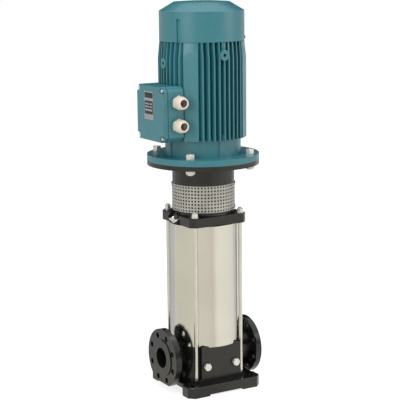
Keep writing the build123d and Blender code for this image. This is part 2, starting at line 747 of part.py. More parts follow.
with BuildPart() as guard_screws:
    for plane in guard_screw_planes:
        along(plane, guard_screw_r, neck_outer_r - 8, guard_r)
        along(plane, 2 * guard_screw_r, guard_r, guard_r + 2)
keep(guard_screws, "guard_screws")

# ---------------------------------------------------------------- motor
shield_bottom = lantern_flange_top
with BuildPart() as end_shield:
    disc(motor_flange_r, shield_bottom, motor_flange_top, inner=bearing_bore_r + 2)
    disc(spigot_r, shield_bottom - spigot_depth, shield_bottom, inner=spigot_r - 15)
    disc(drum_r, motor_flange_top, frame_bottom)
    for angle in (0, 90):
        with BuildSketch(Plane.XY.offset(motor_flange_top)) as lugs:
            Rectangle(2 * (drum_r + drum_lug_proud), drum_lug_width, rotation=angle)
        extrude(lugs.sketch, amount=frame_bottom - motor_flange_top)
    disc(frame_bore_r - 8, motor_flange_top + 6, frame_bottom, inner=bearing_outer_r + 10, mode=Mode.SUBTRACT)
    disc(bearing_outer_r + 10, lower_bearing_z + bearing_width, frame_bottom, mode=Mode.SUBTRACT)
    disc(bearing_outer_r, lower_bearing_z, lower_bearing_z + bearing_width, mode=Mode.SUBTRACT)
    disc(bearing_bore_r + 2, motor_flange_top - 1, lower_bearing_z, mode=Mode.SUBTRACT)
    disc(frame_bore_r - spigot_gap, frame_bottom - 2, frame_bottom + 6, inner=frame_bore_r - 8)
    disc(motor_hole_r, shield_bottom, motor_flange_top, mode=Mode.SUBTRACT, at=motor_spots)
keep(end_shield, "motor_end_shield")

pad_angles = (45, 135)
with BuildPart() as motor_frame:
    with BuildSketch(Plane.XY.offset(frame_bottom)) as section:
        Circle(frame_wall_r)
        for k in range(-fins_each_way, fins_each_way + 1):
            with Locations((k * fin_pitch, 0)):
                Rectangle(fin_thickness, 2 * fin_tip_r)
            with Locations((0, k * fin_pitch)):
                Rectangle(2 * fin_tip_r, fin_thickness)
        for angle in pad_angles:
            Rectangle(2 * pad_reach, pad_width, rotation=angle)
        Circle(fin_tip_r, mode=Mode.INTERSECT)
        Circle(frame_bore_r, mode=Mode.SUBTRACT)
    extrude(section.sketch, amount=frame_top - frame_bottom)
    # The fins draw in under the cowl
    turned([(cowl_r - 0.5, frame_top + 1), (fin_tip_r + 0.5, frame_top - 56),
            (fin_tip_r + 9, frame_top - 56), (fin_tip_r + 9, frame_top + 1)], mode=Mode.SUBTRACT)
    # Threaded lifting bosses, each with a rib up to the cowl
    for angle in (0, 90, 180, 270):
        out = (cos(radians(angle)), sin(radians(angle)), 0)
        face = Plane(origin=(0, 0, 0), x_dir=(-out[1], out[0], 0), z_dir=out)
        z = lift_boss_z if angle in (90, 270) else lift_boss_z - side_boss_drop
        along(face, lift_boss_r, frame_wall_r - 2, fin_tip_r + 1, at=[(0, z)])
        with BuildSketch(face.offset(frame_wall_r - 2)) as rib:
            rib_low = z + lift_boss_r - 2
            with Locations((0, (rib_low + frame_top) / 2)):
                Rectangle(13, frame_top - rib_low)
            with Locations((0, frame_bottom + 9)):
                Rectangle(13, 18)
        extrude(rib.sketch, amount=fin_tip_r - frame_wall_r - 4)
        along(face, lift_thread_r, fin_tip_r - 15, fin_tip_r + 1, mode=Mode.SUBTRACT, at=[(0, z)])
    # Flat seat for the terminal box
    slab(fin_tip_r, box_width + 2, box_bottom - 1, box_bottom + box_height + 1,
         mode=Mode.SUBTRACT, at=[(-box_back - fin_tip_r / 2, 0)])
    slab(box_back - frame_bore_r - 2, box_width - 50, box_bottom + 12, box_bottom + box_height - 12,
         at=[(-(box_back + frame_bore_r + 2) / 2, 0)])
    with BuildSketch(box_face.offset(frame_bore_r - 30)) as wire_hole:
        with Locations((0, box_bottom + box_height / 2)):
            Rectangle(40, 60)
    extrude(wire_hole.sketch, amount=60, mode=Mode.SUBTRACT)
keep(motor_frame, "motor_frame")

stator_top = stator_bottom + stator_height
slot_mid = (stator_bore_r + frame_bore_r) / 2 - 4
with BuildPart() as stator_core:
    with BuildSketch(Plane.XY.offset(stator_bottom)) as lamination:
        Circle(frame_bore_r)
        Circle(stator_bore_r, mode=Mode.SUBTRACT)
        with PolarLocations(slot_mid, stator_slots):
            Rectangle(18, 6, mode=Mode.SUBTRACT)
    extrude(lamination.sketch, amount=stator_height)
keep(stator_core, "stator_core")

with BuildPart() as winding:
    for low in (stator_bottom - winding_height, stator_top):
        disc(slot_mid + 11, low, low + winding_height, inner=slot_mid - 9)
    fillet(winding.edges().filter_by(GeomType.CIRCLE).sort_by(Axis.Z)[-2:], 5)
    with BuildSketch(Plane.XY.offset(stator_bottom - 1)) as bars:
        with PolarLocations(slot_mid, stator_slots):
            Rectangle(17, 5)
    extrude(bars.sketch, amount=stator_height + 2)
keep(winding, "stator_winding")

fan_top = fan_z + fan_height
upper_seat = upper_bearing_z + bearing_width
with BuildPart() as motor_shaft:
    turned([
        (0, motor_shaft_bottom), (motor_shaft_r, motor_shaft_bottom),
        (motor_shaft_r, lower_bearing_z - 4), (bearing_bore_r, lower_bearing_z - 4),
        (bearing_bore_r, lower_bearing_z + bearing_width),
        (rotor_shoulder_r, lower_bearing_z + bearing_width), (rotor_shoulder_r, upper_bearing_z),
        (bearing_bore_r, upper_bearing_z), (bearing_bore_r, upper_seat + 2),
        (fan_shaft_r, upper_seat + 2), (fan_shaft_r, fan_top + 2), (0, fan_top + 2),
    ])
keep(motor_shaft, "motor_shaft")

with BuildPart() as rotor_core:
    disc(stator_bore_r - air_gap, stator_bottom, stator_top, inner=rotor_shoulder_r)
    disc(stator_bore_r - 6, stator_bottom - 12, stator_top + 12, inner=stator_bore_r - 24)
keep(rotor_core, "rotor_core")

bearing_floors = (lower_bearing_z, upper_bearing_z)
outer_race_r = bearing_outer_r - bearing_ring
inner_race_r = bearing_bore_r + bearing_ring
ball_r = (outer_race_r - inner_race_r - slide_gap) / 2
with BuildPart() as bearing_outer_rings:
    for z in bearing_floors:
        disc(bearing_outer_r, z, z + bearing_width, inner=outer_race_r)
keep(bearing_outer_rings, "bearing_outer_rings")

with BuildPart() as bearing_inner_rings:
    for z in bearing_floors:
        disc(inner_race_r, z, z + bearing_width, inner=bearing_bore_r)
keep(bearing_inner_rings, "bearing_inner_rings")

with BuildPart() as bearing_cages:
    for z in bearing_floors:
        with Locations((0, 0, z + bearing_width / 2)):
            with PolarLocations(outer_race_r - ball_r, bearing_balls):
                Sphere(ball_r)
        disc(outer_race_r - ball_r + 1.5, z + bearing_width / 2 - 2.5, z + bearing_width / 2 + 2.5,
             inner=outer_race_r - ball_r - 1.5)
keep(bearing_cages, "bearing_balls")

screw_angles = (groove_angle, groove_angle + 120, groove_angle + 240)
screw_z = cowl_bottom + 9
with BuildPart() as fan_shield:
    disc(frame_wall_r, frame_top, frame_top + 8)
    disc(bearing_outer_r + 8, upper_bearing_z - 4, upper_seat + 4)
    disc(frame_bore_r - spigot_gap, frame_top - 5, frame_top + 1, inner=frame_bore_r - 8)
    for angle in screw_angles:
        inset = groove_depth + cowl_sheet if angle == groove_angle else cowl_sheet
        reach = cowl_r - inset - 0.5
        with BuildSketch(Plane.XY.offset(frame_top)) as arm:
            with Locations(Location((0, 0, 0), (0, 0, angle))):
                with Locations((reach / 2 + 25, 0)):
                    Rectangle(reach - 50, 16)
        extrude(arm.sketch, amount=18)
    disc(bearing_outer_r, upper_bearing_z, upper_seat, mode=Mode.SUBTRACT)
    disc(bearing_bore_r + 2, upper_bearing_z - 6, upper_seat + 6, mode=Mode.SUBTRACT)
    disc(bearing_outer_r, upper_bearing_z - 6, upper_bearing_z, mode=Mode.SUBTRACT)
    for angle in screw_angles:
        out = Plane(origin=(0, 0, 0), x_dir=(-sin(radians(angle)), cos(radians(angle)), 0),
                    z_dir=(cos(radians(angle)), sin(radians(angle)), 0))
        along(out, cowl_screw_r + thread_gap, cowl_r - 24, cowl_r, mode=Mode.SUBTRACT, at=[(0, screw_z)])
keep(fan_shield, "fan_end_shield")

with BuildPart() as fan:
    disc(fan_r, fan_z, fan_z + fan_sheet, inner=fan_shaft_r)
    disc(fan_hub_r, fan_z, fan_top, inner=fan_shaft_r)
    with BuildSketch(Plane.XY.offset(fan_z + 1)) as blades:
        with PolarLocations((fan_hub_r + fan_r) / 2 - 1, fan_blades):
            Rectangle(fan_r - fan_hub_r, fan_sheet)
    extrude(blades.sketch, amount=fan_height - 1)
keep(fan, "cooling_fan")

with BuildPart() as fan_cowl:
    turned([
        (cowl_r, cowl_bottom), (cowl_r, cowl_shoulder), (cowl_top_r, cowl_top),
        (cowl_top_r / 2, cowl_top + 0.8 * cowl_crown), (0, cowl_top + cowl_crown),
        (0, cowl_top + cowl_crown - cowl_sheet), (cowl_top_r / 2, cowl_top + 0.8 * cowl_crown - cowl_sheet),
        (cowl_top_r - 1, cowl_top - cowl_sheet), (cowl_r - cowl_sheet, cowl_shoulder - 1.6),
        (cowl_r - cowl_sheet, cowl_bottom),
    ])
    for extra, cut in ((cowl_sheet, Mode.ADD), (0, Mode.SUBTRACT)):
        with BuildSketch(Plane.XY.offset(cowl_bottom)) as groove:
            with Locations(Location((0, 0, 0), (0, 0, groove_angle))):
                low = cowl_r - groove_depth - extra
                high = cowl_r - 1 if cut == Mode.ADD else cowl_r + 4
                with Locations(((low + high) / 2, 0)):
                    Rectangle(high - low, groove_width + 2 * extra)
        extrude(groove.sketch, amount=groove_top - cowl_bottom + extra, mode=cut)
    with BuildSketch(Plane.XY.offset(cowl_top - 2 * cowl_sheet)) as vents:
        Circle(vent_r)
        for ring in range(1, vent_rings):
            with PolarLocations(ring * vent_pitch, 6 * ring):
                Circle(vent_r)
    extrude(vents.sketch, amount=4 * cowl_sheet, mode=Mode.SUBTRACT)
    for angle in screw_angles:
        out = Plane(origin=(0, 0, 0), x_dir=(-sin(radians(angle)), cos(radians(angle)), 0),
                    z_dir=(cos(radians(angle)), sin(radians(angle)), 0))
        along(out, cowl_screw_r + 0.3, cowl_r - 15, cowl_r + 1, mode=Mode.SUBTRACT, at=[(0, screw_z)])
keep(fan_cowl, "fan_cowl")

with BuildPart() as cowl_screws:
    for angle in screw_angles:
        seat = cowl_r - (groove_depth if angle == groove_angle else 0)
        out = Plane(origin=(0, 0, 0), x_dir=(-sin(radians(angle)), cos(radians(angle)), 0),
                    z_dir=(cos(radians(angle)), sin(radians(angle)), 0))
        along(out, cowl_screw_r, seat - 14, seat + 0.5, at=[(0, screw_z)])
        along(out, 2 * cowl_screw_r - 0.5, seat + 0.15, seat + 2.6, at=[(0, screw_z)])
keep(cowl_screws, "cowl_screws")

# Motor bolts go down through both flanges; the nuts are underneath
with BuildPart() as flange_bolts:
    disc(motor_bolt_r, lantern_flange_bottom - motor_nut - 3, motor_flange_top, at=motor_spots)
    hexagon(motor_bolt_hex, motor_flange_top, motor_flange_top + motor_bolt_head, at=motor_spots)
keep(flange_bolts, "flange_bolts")

with BuildPart() as flange_nuts:
    hexagon(motor_bolt_hex, lantern_flange_bottom - motor_nut, lantern_flange_bottom, at=motor_spots)
    disc(motor_bolt_r + thread_gap, lantern_flange_bottom - motor_nut, lantern_flange_bottom,
         mode=Mode.SUBTRACT, at=motor_spots)
keep(flange_nuts, "flange_nuts")

# ---------------------------------------------------------------- terminal box
box_mid = box_bottom + box_height / 2
box_front = box_back + box_depth
corner_at = box_width / 2 - cover_screw_inset
cover_corners = [(y, box_mid + z) for y in (-corner_at, corner_at) for z in (-corner_at, corner_at)]
gland_spots = [(-gland_x, gland_upper_z), (-gland_x, gland_upper_z - gland_pitch)]
box_side = box_width / 2


def box_block(start, end, shrink=0, mode=Mode.ADD):
    """A chamfered block of the box, from one distance off the axis to another."""
    with BuildSketch(box_face.offset(start)) as outline:
        with Locations((0, box_mid)):
            Rectangle(box_width - 2 * shrink, box_height - 2 * shrink)
        chamfer(outline.vertices(), box_corner)
    extrude(outline.sketch, amount=end - start, mode=mode)


with BuildPart() as terminal_box:
    box_block(box_back, box_front)
    box_block(box_back + box_wall, box_front, box_wall, Mode.SUBTRACT)
    along(box_face, 8, box_back, box_front, at=cover_corners)
    with BuildSketch(box_face.offset(box_back)) as opening:
        with Locations((0, box_mid)):
            Rectangle(46, 66)
    extrude(opening.sketch, amount=box_wall, mode=Mode.SUBTRACT)
    along(front_face, gland_boss_r, box_side - 1, box_side + gland_boss_height, at=gland_spots)
    along(front_face, gland_thread_r + thread_gap, box_side - box_wall - 4,
          box_side + gland_boss_height, mode=Mode.SUBTRACT, at=gland_spots)
    along(box_face, cover_screw_r + thread_gap, box_front - 14, box_front, mode=Mode.SUBTRACT,
          at=cover_corners)
keep(terminal_box, "terminal_box")

with BuildPart() as box_gasket:
    box_block(box_front, box_front + gasket)
    box_block(box_front, box_front + gasket, 2 * box_wall, Mode.SUBTRACT)
    along(box_face, cover_screw_r + 1, box_front, box_front + gasket, mode=Mode.SUBTRACT, at=cover_corners)
keep(box_gasket, "box_gasket")

cover_back = box_front + gasket
with BuildPart() as box_cover:
    box_block(cover_back, box_x)
    chamfer(box_cover.faces().sort_by(Axis.X)[0].edges(), 2)
    box_block(cover_back, box_x - box_wall, 2 * box_wall, Mode.SUBTRACT)
    along(box_face, notch_r, cover_back, box_x - 2, at=cover_corners)
    along(box_face, notch_r, cover_back + notch_floor, box_x, mode=Mode.SUBTRACT, at=cover_corners)
    notch_out = [(y + (notch_r if y > 0 else -notch_r), z) for y, z in cover_corners]
    with BuildSketch(box_face.offset(cover_back + notch_floor)) as notches:
        with Locations(*notch_out):
            Rectangle(2 * notch_r, 2 * notch_r)
    extrude(notches.sketch, amount=box_x - cover_back, mode=Mode.SUBTRACT)
    along(box_face, cover_screw_r + 0.4, cover_back, box_x, mode=Mode.SUBTRACT, at=cover_corners)
keep(box_cover, "box_cover")

with BuildPart() as cover_screws:
    along(box_face, cover_screw_r, box_front - 12, cover_back + notch_floor, at=cover_corners)
    along(box_face, cover_screw_r + 2.5, cover_back + notch_floor, cover_back + notch_floor + 4,
          at=cover_corners)
keep(cover_screws, "box_cover_screws")

with BuildPart() as terminal_board:
    board_top = box_back + box_wall + 14
    with BuildSketch(box_face.offset(box_back + box_wall)) as board:
        with Locations((0, box_mid)):
            Rectangle(70, 90)
            Rectangle(30, 50, mode=Mode.SUBTRACT)
    extrude(board.sketch, amount=14)
    studs = [(y, box_mid + z) for y in (-25, 25) for z in (-32, 0, 32)]
    along(box_face, 3, board_top - 4, board_top + 14, at=studs)
    hex_along(box_face, 10, board_top - 1, board_top + 5, at=studs)
keep(terminal_board, "terminal_board")

gland_seat = box_side + gland_boss_height
with BuildPart() as gland_bodies:
    along(front_face, gland_thread_r, gland_seat - gland_thread, gland_seat, at=gland_spots)
    hex_along(front_face, gland_hex, gland_seat, gland_seat + gland_flange, at=gland_spots)
    along(front_face, gland_thread_r - 2, gland_seat, gland_seat + gland_flange + 14, at=gland_spots)
    along(front_face, gland_hole_r, gland_seat - gland_thread, gland_seat + gland_flange + 14,
          mode=Mode.SUBTRACT, at=gland_spots)
keep(gland_bodies, "gland_bodies")

nut_low = gland_seat + gland_flange
with BuildPart() as gland_nuts:
    for x, z in gland_spots:
        with BuildSketch(Plane(origin=(x, 0, z), x_dir=(1, 0, 0), z_dir=(0, 0, 1))) as dome:
            with BuildLine():
                Polyline((gland_thread_r - 2 + thread_gap, -nut_low), (gland_nut_r, -nut_low),
                         (gland_nut_r, -nut_low - 13), (gland_nut_r - 2, -nut_low - 19),
                         (gland_hole_r + 3, -nut_low - gland_nut_length),
                         (gland_hole_r, -nut_low - gland_nut_length),
                         (gland_hole_r, -nut_low - 20), (gland_thread_r - 2 + thread_gap, -nut_low - 20),
                         close=True)
            make_face()
        revolve(dome.sketch, axis=Axis((x, 0, z), (0, 1, 0)))
keep(gland_nuts, "gland_nuts")

with BuildPart() as gland_seals:
    along(front_face, gland_thread_r - 2 - 0.3, nut_low + 14, nut_low + 20, inner=gland_hole_r,
          at=gland_spots)
keep(gland_seals, "gland_seals")

with BuildPart() as nameplate:
    with BuildSketch(box_face.offset(box_x)) as plate:
        with Locations((-plate_y_mid, plate_z_mid)):
            Rectangle(plate_size_y, plate_size_z)
        fillet(plate.vertices(), 3)
    extrude(plate.sketch, amount=plate_sheet)
keep(nameplate, "nameplate")

print(len(written), "nodes")
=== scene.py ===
# Looks of the vertical multistage pump, in metres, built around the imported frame
import json
import math

import bpy
from mathutils import Matrix, Vector


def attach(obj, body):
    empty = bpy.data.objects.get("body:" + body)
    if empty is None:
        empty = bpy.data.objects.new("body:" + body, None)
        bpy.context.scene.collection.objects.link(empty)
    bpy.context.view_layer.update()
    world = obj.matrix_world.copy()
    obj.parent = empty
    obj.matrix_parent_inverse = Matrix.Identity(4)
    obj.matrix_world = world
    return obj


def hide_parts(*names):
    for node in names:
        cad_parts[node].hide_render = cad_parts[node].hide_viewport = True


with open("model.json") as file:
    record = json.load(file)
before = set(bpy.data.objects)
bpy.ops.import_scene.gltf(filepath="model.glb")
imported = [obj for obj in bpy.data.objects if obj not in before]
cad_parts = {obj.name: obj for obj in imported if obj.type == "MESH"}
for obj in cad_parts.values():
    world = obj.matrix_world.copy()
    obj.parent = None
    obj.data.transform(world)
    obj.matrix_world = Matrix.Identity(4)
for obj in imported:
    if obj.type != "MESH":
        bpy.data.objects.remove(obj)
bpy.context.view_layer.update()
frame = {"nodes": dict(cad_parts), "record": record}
cadNodes = frame["nodes"]
slotOf = {part["node"]: part["material_slot"] for part in frame["record"]["subparts"]}
bodyOf = {}
for bodyName, members in frame["record"]["behaviour"]["bodies"].items():
    for member in members:
        bodyOf[member] = bodyName
bpy.ops.object.select_all(action="DESELECT")
print("frame loaded,", len(cadNodes), "nodes")

millimetre = 0.001


# Shader nodes as sums

class Wire:
    def __init__(self, paint, socket):
        self.paint = paint
        self.socket = socket

    def calc(self, operation, first, second):
        return self.paint.node("Math", {"operation": operation}, {0: first, 1: second})

    def __add__(self, other):
        return self.calc("ADD", self, other)

    def __truediv__(self, other):
        return self.calc("DIVIDE", self, other)


class Paint:
    def __init__(self, name):
        self.material = bpy.data.materials.new(name)
        self.material.use_nodes = True
        self.tree = self.material.node_tree
        self.shader = self.tree.nodes["Principled BSDF"]
        self.output = self.tree.nodes["Material Output"]

    def feed(self, socket, value):
        if isinstance(value, Wire):
            self.tree.links.new(value.socket, socket)
        else:
            socket.default_value = value

    def node(self, kind, settings=None, sockets=None, out=0):
        made = self.tree.nodes.new("ShaderNode" + kind)
        for key, value in (settings or {}).items():
            if key == "stops":
                while len(made.color_ramp.elements) < len(value):
                    made.color_ramp.elements.new(1)
                for element, (position, color) in zip(made.color_ramp.elements, value):
                    element.position = position
                    element.color = color
            else:
                setattr(made, key, value)
        for key, value in (sockets or {}).items():
            self.feed(made.inputs[key], value)
        return Wire(self, made.outputs[out])

    def place(self, scale=(1, 1, 1)):
        spot = self.node("TexCoord", out="Object")
        return self.node("Mapping", {}, {"Vector": spot, "Scale": scale})

    def noise(self, scale, detail=3, rough=0.5, stretch=(1, 1, 1)):
        return self.node("TexNoise", {}, {"Vector": self.place(stretch), "Scale": scale,
                                          "Detail": detail, "Roughness": rough})

    def spread(self, value, low, high):
        return self.node("MapRange", {}, {"Value": value, "From Min": 0.3, "From Max": 0.7,
                                          "To Min": low, "To Max": high})

    def tint(self, factor, first, second, kind="MIX"):
        return self.node("Mix", {"data_type": "RGBA", "blend_type": kind},
                         {0: factor, 6: first, 7: second}, 2)

    def bump(self, height, distance, strength=1.0, below=None):
        sockets = {"Height": height, "Distance": distance, "Strength": strength}
        if below is not None:
            sockets["Normal"] = below
        return self.node("Bump", {}, sockets)

    def set(self, **values):
        for key, value in values.items():
            self.feed(self.shader.inputs[key.replace("_", " ")], value)
        return self.material


def rgb(red, green, blue):
    return (red, green, blue, 1)


# Finishes

def blackEnamel():
    look = {"color": rgb(0.0085, 0.0085, 0.0078), "shade": rgb(0.006, 0.006, 0.0056), "grain": 900,
            "swell": 60, "rough": (0.24, 0.34), "coat": 0.25}
    paint = Paint("castBlackEnamel")
    grain = paint.noise(look["grain"], 4, 0.6)
    swell = paint.noise(look["swell"], 3)
    lumps = paint.bump(swell, 0.0004, 0.25)
    return paint.set(
        Base_Color=paint.tint(paint.spread(swell, 0, 1), look["color"], look["shade"]),
        Roughness=paint.spread(paint.noise(25, 2), *look["rough"]),
        Coat_Weight=paint.spread(swell, look["coat"] - 0.1, look["coat"] + 0.1),
        Coat_Roughness=0.12,
        Normal=paint.bump(grain, 0.00005, 0.25, lumps))


def tealEnamel(name, grainDepth):
    look = {"color": rgb(0.030, 0.190, 0.225), "shade": rgb(0.026, 0.168, 0.200), "grain": 1100,
            "swell": 45, "rough": (0.34, 0.44)}
    paint = Paint(name)
    grain = paint.noise(look["grain"], 3, 0.6)
    swell = paint.noise(look["swell"], 3)
    return paint.set(
        Base_Color=paint.tint(paint.spread(swell, 0, 1), look["color"], look["shade"]),
        Roughness=paint.spread(paint.noise(18, 2), *look["rough"]),
        Coat_Weight=paint.spread(swell, 0.30, 0.45),
        Coat_Roughness=0.25,
        Specular_IOR_Level=0.6,
        Normal=paint.bump(grain, grainDepth, 0.4, paint.bump(swell, 0.0004, 0.2)))


def polishedSleeve():
    look = {"color": rgb(0.80, 0.785, 0.74), "dull": rgb(0.74, 0.725, 0.68), "lines": 2600}
    paint = Paint("polishedSleeve")
    lines = paint.noise(look["lines"], 2, 0.6, (0.04, 0.04, 1))
    clouds = paint.noise(6, 3)
    return paint.set(
        Base_Color=paint.tint(paint.spread(clouds, 0, 1), look["color"], look["dull"]),
        Metallic=1.0,
        Roughness=paint.spread(clouds, 0.13, 0.18),
        Normal=paint.bump(lines, 0.00002, 0.25))


def brightSteel(name, color, rough, lines=1500, stretch=(1, 1, 0.1)):
    paint = Paint(name)
    scratches = paint.noise(lines, 3, 0.6, stretch)
    clouds = paint.noise(30, 3)
    return paint.set(
        Base_Color=paint.tint(paint.spread(clouds, 0, 0.25), color, rgb(*[c * 0.7 for c in color[:3]])),
        Metallic=1.0,
        Roughness=paint.spread(clouds, rough - 0.04, rough + 0.05),
        Normal=paint.bump(scratches, 0.00003, 0.3))


def zincPlate():
    look = {"color": rgb(0.86, 0.85, 0.80), "dull": rgb(0.78, 0.77, 0.72)}
    paint = Paint("zincPlate")
    spangle = paint.node("TexVoronoi", {}, {"Vector": paint.place(), "Scale": 700}, "Distance")
    clouds = paint.noise(90, 3)
    return paint.set(
        Base_Color=paint.tint(paint.spread(clouds, 0, 1), look["color"], look["dull"]),
        Metallic=0.75,
        Roughness=paint.spread(clouds, 0.26, 0.38),
        Normal=paint.bump(spangle, 0.00003, 0.2))


def guardSheet():
    paint = Paint("guardSheet")
    clouds = paint.noise(50, 4)
    lines = paint.noise(900, 2, 0.6, (0.1, 0.1, 1))
    return paint.set(
        Base_Color=paint.tint(paint.spread(clouds, 0, 1), rgb(0.56, 0.55, 0.50), rgb(0.49, 0.48, 0.44)),
        Metallic=0.6,
        Roughness=paint.spread(clouds, 0.42, 0.52),
        Normal=paint.bump(lines, 0.00003, 0.3))


def mouldedPlastic(name, color, rough, grain=1600):
    paint = Paint(name)
    pits = paint.noise(grain, 3, 0.6)
    clouds = paint.noise(70, 3)
    darker = rgb(*[c * 0.86 for c in color[:3]])
    return paint.set(
        Base_Color=paint.tint(paint.spread(clouds, 0, 0.6), color, darker),
        Roughness=paint.spread(clouds, rough - 0.05, rough + 0.06),
        Normal=paint.bump(pits, 0.00003, 0.25))


def laminatedIron():
    paint = Paint("laminatedIron")
    sheets = paint.node("TexWave", {"wave_type": "BANDS", "bands_direction": "Z"},
                        {"Vector": paint.place(), "Scale": 320, "Distortion": 0.2}, "Fac")
    return paint.set(
        Base_Color=paint.tint(sheets, rgb(0.22, 0.23, 0.25), rgb(0.34, 0.35, 0.37)),
        Metallic=0.9,
        Roughness=paint.spread(paint.noise(80), 0.35, 0.5),
        Normal=paint.bump(sheets, 0.0001, 0.4))


def varnishedCopper():
    paint = Paint("varnishedCopper")
    wires = paint.node("TexWave", {"wave_type": "RINGS", "rings_direction": "Z"},
                       {"Vector": paint.place(), "Scale": 180, "Distortion": 1.5}, "Fac")
    return paint.set(
        Base_Color=paint.tint(wires, rgb(0.30, 0.10, 0.03), rgb(0.62, 0.28, 0.10)),
        Metallic=0.8,
        Roughness=paint.spread(paint.noise(60), 0.3, 0.42),
        Normal=paint.bump(wires, 0.0003, 0.5))


finishes = {
    "cast_black": blackEnamel(),
    "teal_paint": tealEnamel("tealEnamel", 0.00005),
    "stainless": brightSteel("steelRod", rgb(0.84, 0.83, 0.78), 0.17),
    "zinc_steel": zincPlate(),
    "chrome_plug": brightSteel("chromePlug", rgb(0.88, 0.88, 0.89), 0.07),
    "guard_steel": guardSheet(),
    "inner_steel": brightSteel("pressedSteel", rgb(0.60, 0.60, 0.58), 0.28),
    "seal_rubber": mouldedPlastic("sealRubber", rgb(0.018, 0.018, 0.018), 0.6),
    "seal_carbide": mouldedPlastic("sealCarbide", rgb(0.06, 0.06, 0.065), 0.25),
    "coupling_iron": brightSteel("couplingIron", rgb(0.05, 0.05, 0.05), 0.45),
    "lamination": laminatedIron(),
    "copper_winding": varnishedCopper(),
    "fan_plastic": mouldedPlastic("fanPlastic", rgb(0.02, 0.02, 0.024), 0.45),
    "gland_plastic": mouldedPlastic("glandPlastic", rgb(0.76, 0.66, 0.56), 0.42),
    "board_plastic": mouldedPlastic("boardPlastic", rgb(0.10, 0.055, 0.03), 0.4),
    "plate_sheet": brightSteel("plateSheet", rgb(0.60, 0.61, 0.60), 0.35),
}
sleeveFinish = polishedSleeve()
plateInk = mouldedPlastic("plateInk", rgb(0.012, 0.013, 0.014), 0.4)
glandShade = mouldedPlastic("glandSeal", rgb(0.24, 0.19, 0.15), 0.6)
for nodeName, cadNode in cadNodes.items():
    cadNode.data.materials.clear()
    cadNode.data.materials.append(finishes[slotOf[nodeName]])
print("finishes made,", len(finishes))


# Working helpers

def millimetres(*values):
    return [value * millimetre for value in values]


def finishPiece(piece, node, finish=None, smoothAngle=32):
    slot = slotOf[node]
    piece.data.materials.clear()
    piece.data.materials.append(finish or finishes[slot])
    bpy.ops.object.select_all(action="DESELECT")
    piece.select_set(True)
    bpy.context.view_layer.objects.active = piece
    bpy.ops.object.transform_apply(location=True, rotation=True, scale=True)
    bpy.ops.object.shade_smooth_by_angle(angle=math.radians(smoothAngle))
    weighting = piece.modifiers.new("faceWeight", "WEIGHTED_NORMAL")
    weighting.keep_sharp = True
    weighting.weight = 100
    bpy.ops.object.modifier_apply(modifier=weighting.name)
    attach(piece, bodyOf[node])
    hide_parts(node)
    piece.select_set(False)
    return piece


def applyModifiers(piece):
    bpy.ops.object.select_all(action="DESELECT")
    piece.select_set(True)
    bpy.context.view_layer.objects.active = piece
    for modifier in list(piece.modifiers):
        bpy.ops.object.modifier_apply(modifier=modifier.name)


def bevelled(piece, width, segments=2, sharpest=50):
    bevel = piece.modifiers.new("edge", "BEVEL")
    bevel.width = width * millimetre
    bevel.segments = segments
    bevel.limit_method = "ANGLE"
    bevel.angle_limit = math.radians(sharpest)
    applyModifiers(piece)


def dressed(node, name, edge):
    piece = bpy.data.objects.new(name, cadNodes[node].data.copy())
    bpy.context.scene.collection.objects.link(piece)
    bpy.ops.object.select_all(action="DESELECT")
    piece.select_set(True)
    bpy.context.view_layer.objects.active = piece
    bpy.ops.object.mode_set(mode="EDIT")
    bpy.ops.mesh.select_all(action="SELECT")
    bpy.ops.mesh.remove_doubles(threshold=0.00002)
    bpy.ops.mesh.dissolve_limited(angle_limit=math.radians(0.4))
    bpy.ops.object.mode_set(mode="OBJECT")
    if edge:
        bevelled(piece, edge, sharpest=35)
    return finishPiece(piece, node)


# Castings, covers and sheets that keep the frame's own shape

castings = {
    "pump_base": ("baseCasting", 1.4),
    "pump_head": ("headCasting", 1.2),
    "lantern": ("lanternCasting", 1.2),
    "motor_end_shield": ("motorFlange", 1.2),
    "motor_frame": ("finnedFrame", 0.7),
    "fan_end_shield": ("fanEndShield", 0.8),
    "fan_cowl": ("fanCowl", 0.8),
    "terminal_box": ("terminalBox", 1.4),
    "box_cover": ("boxCover", 1.2),
    "coupling_halves": ("couplingHalves", 0.8),
}
for nodeName, (pieceName, edgeWidth) in castings.items():
    piece = dressed(nodeName, pieceName, edgeWidth)
    print(pieceName, len(piece.data.polygons), "faces")

sheets = {
    "coupling_guards": ("guardHalves", 0),
    "seal_cover": ("sealCover", 0.5),
    "cooling_fan": ("coolingFan", 0),
    "head_screws": ("headScrews", 0.4),
    "guard_screws": ("guardScrews", 0.2),
    "cowl_screws": ("cowlScrews", 0.2),
    "box_cover_screws": ("coverScrews", 0.2),
    "coupling_screws": ("couplingScrews", 0.3),
    "plug_seals": ("plugSeals", 0.2),
    "box_gasket": ("boxGasket", 0.2),
    "gland_seals": ("glandSeals", 0.2),
}
for nodeName, (pieceName, edgeWidth) in sheets.items():
    dressed(nodeName, pieceName, edgeWidth)
print("castings and sheets made")


# Turned and hexagonal pieces, modelled standing on the origin and then placed

def rod(radius, low, high, edge=0.0, vertices=64):
    low, high, radius = millimetres(low, high, radius)
    bpy.ops.mesh.primitive_cylinder_add(vertices=vertices, radius=radius, depth=high - low,
                                        location=(0, 0, (low + high) / 2))
    piece = bpy.context.object
    bpy.ops.object.transform_apply(location=True, rotation=True, scale=True)
    if edge:
        bevelled(piece, edge)
    return piece


def combined(piece, tool, operation):
    boolean = piece.modifiers.new("combine", "BOOLEAN")
    boolean.operation = operation
    boolean.solver = "EXACT"
    boolean.object = tool
    applyModifiers(piece)
    bpy.data.objects.remove(tool, do_unlink=True)
    return piece


